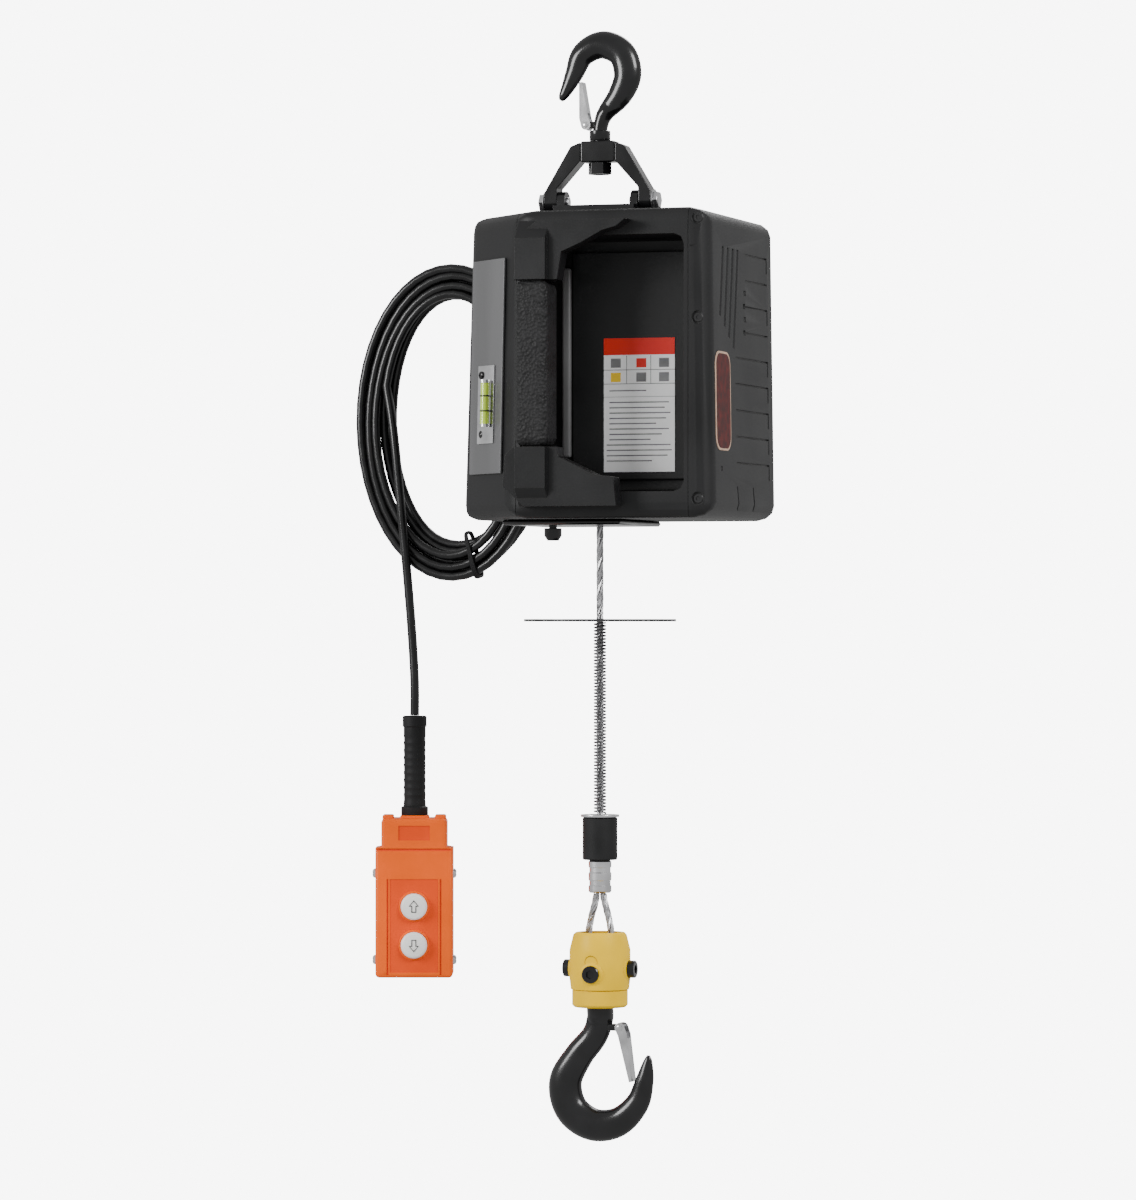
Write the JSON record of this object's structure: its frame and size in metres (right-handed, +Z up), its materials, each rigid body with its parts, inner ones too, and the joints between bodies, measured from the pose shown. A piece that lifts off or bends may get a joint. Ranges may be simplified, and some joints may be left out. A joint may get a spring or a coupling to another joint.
{
  "type": "electric wire rope hoist",
  "caption": "Portable electric wire rope hoist with swivel suspension hook, carrying handle, spirit level, sprung limit disc, hook block with load hook, and a hand pendant.",
  "frame": {"origin": "load seat of the suspension hook, the highest point inside its bowl", "axes": "+Z up along the load line, +X to the right-hand cover, -Y to the front with the carrying handle"},
  "size_m": [0.3701, 0.2742, 0.8887],
  "materials": {
    "black_enamel": "gloss",
    "black_moulding": "moulded satin",
    "grey_panel": "satin",
    "black_rubber": "matt",
    "bright_steel": "zinc plated",
    "rope_steel": "drawn wire",
    "yellow_paint": "satin enamel",
    "orange_case": "moulded satin",
    "white_button": "gloss",
    "level_fluid": "clear tinted",
    "motor_steel": "satin",
    "copper": "enamelled winding"
  },
  "bodies": {
    "suspension_hook": {"suspension_hook": "black_enamel", "suspension_nut": "black_enamel"},
    "suspension_latch": {"suspension_latch": "bright_steel"},
    "yoke": {"yoke_block": "black_enamel", "yoke_leg_left": "black_enamel", "yoke_leg_right": "black_enamel"},
    "housing": {"top_bracket": "black_enamel", "yoke_bolt_left": "bright_steel", "yoke_bolt_right": "bright_steel", "centre_shell": "black_moulding", "left_cover": "black_moulding", "right_cover": "black_moulding", "front_panel": "black_moulding", "left_panel": "grey_panel", "level_plate": "bright_steel", "level_vial": "level_fluid", "handle": "black_moulding", "handle_grip": "black_rubber", "frame_plate_left": "motor_steel", "frame_plate_right": "motor_steel", "drum_bearing_left": "bright_steel", "drum_bearing_right": "bright_steel", "motor_can": "motor_steel", "brake_coil": "copper", "control_box": "black_moulding", "start_capacitor": "motor_steel", "limit_switch": "black_moulding", "bottom_plate": "black_enamel", "lead_gland": "black_rubber", "cord_hanger": "black_enamel", "pendant_coil": "black_rubber", "pendant_lead_top": "black_rubber", "pendant_lead_drop": "black_rubber", "strain_relief": "black_rubber", "pendant_front": "orange_case", "pendant_back": "orange_case", "pendant_switches": "black_moulding", "rope_run": "rope_steel"},
    "drum": {"rope_drum": "motor_steel", "drum_gear": "bright_steel", "rope_winding": "rope_steel"},
    "compound_gear": {"compound_gear": "bright_steel"},
    "armature": {"motor_armature": "copper", "motor_pinion": "bright_steel", "motor_fan": "black_moulding"},
    "limit_plunger": {"limit_plunger": "black_enamel"},
    "hook_block": {"rope_end": "rope_steel", "limit_spring": "rope_steel", "spring_washer": "bright_steel", "rubber_buffer": "black_rubber", "ferrule": "bright_steel", "rope_eye": "rope_steel", "eye_pin": "bright_steel", "block_casing": "yellow_paint", "block_collar": "yellow_paint"},
    "limit_disc": {"limit_disc": "bright_steel"},
    "load_hook": {"load_hook": "black_enamel"},
    "load_latch": {"load_latch": "bright_steel"},
    "button_up": {"button_up": "white_button"},
    "button_down": {"button_down": "white_button"}
  },
  "joints": [
    {"name": "suspension_swivel", "type": "hinge", "parent": "suspension_hook", "child": "yoke", "pos_m": [0, 0, -0.066], "axis": [0, 0, 1], "continuous": true},
    {"name": "suspension_latch_hinge", "type": "hinge", "parent": "suspension_hook", "child": "suspension_latch", "pos_m": [-0.0105, 0, -0.0528], "axis": [0, 1, 0], "range_deg": [0, 35], "stiffness_Nm_per_rad": 0.02, "springref_deg": -20.05},
    {"name": "yoke_pivot", "type": "hinge", "parent": "yoke", "child": "housing", "pos_m": [0, 0, -0.114], "axis": [1, 0, 0], "range_deg": [-40, 40]},
    {"name": "drum_spin", "type": "hinge", "parent": "housing", "child": "drum", "pos_m": [0, 0.0383, -0.3], "axis": [1, 0, 0], "range_deg": [-86, 11360]},
    {"name": "compound_spin", "type": "hinge", "parent": "housing", "child": "compound_gear", "pos_m": [0, 0.0383, -0.2505], "axis": [1, 0, 0], "range_deg": [-51130, 400]},
    {"name": "armature_spin", "type": "hinge", "parent": "housing", "child": "armature", "pos_m": [0, 0.0383, -0.2115], "axis": [1, 0, 0], "range_deg": [-1940, 255700]},
    {"name": "hook_travel", "type": "slide", "parent": "housing", "child": "hook_block", "axis": [0, 0, 1], "range_m": [-7.6, 0.058], "deforming": ["rope_run"]},
    {"name": "disc_slide", "type": "slide", "parent": "hook_block", "child": "limit_disc", "axis": [0, 0, 1], "range_m": [-0.09, 0], "stiffness_N_per_m": 160, "springref_m": 0.016, "deforming": ["limit_spring"]},
    {"name": "load_hook_swivel", "type": "hinge", "parent": "hook_block", "child": "load_hook", "pos_m": [0, 0, -0.7583], "axis": [0, 0, 1], "continuous": true},
    {"name": "load_latch_hinge", "type": "hinge", "parent": "load_hook", "child": "load_latch", "pos_m": [0.018, 0, -0.7743], "axis": [0, 1, 0], "range_deg": [0, 35], "stiffness_Nm_per_rad": 0.05, "springref_deg": -20.05},
    {"name": "limit_plunger_slide", "type": "slide", "parent": "housing", "child": "limit_plunger", "axis": [0, 0, 1], "range_m": [0, 0.0015], "stiffness_N_per_m": 300, "springref_m": -0.002},
    {"name": "button_up_press", "type": "slide", "parent": "housing", "child": "button_up", "axis": [-0.309, 0.9511, 0], "range_m": [0, 0.0035], "stiffness_N_per_m": 400, "springref_m": -0.001},
    {"name": "button_down_press", "type": "slide", "parent": "housing", "child": "button_down", "axis": [-0.309, 0.9511, 0], "range_m": [0, 0.0035], "stiffness_N_per_m": 400, "springref_m": -0.001}
  ],
  "couplings": [
    {"joint": "compound_spin", "follows": "drum_spin", "ratio": -4.5},
    {"joint": "armature_spin", "follows": "drum_spin", "ratio": 22.5},
    {"joint": "hook_travel", "follows": "drum_spin", "m_per_rad": -0.0383}
  ]
}
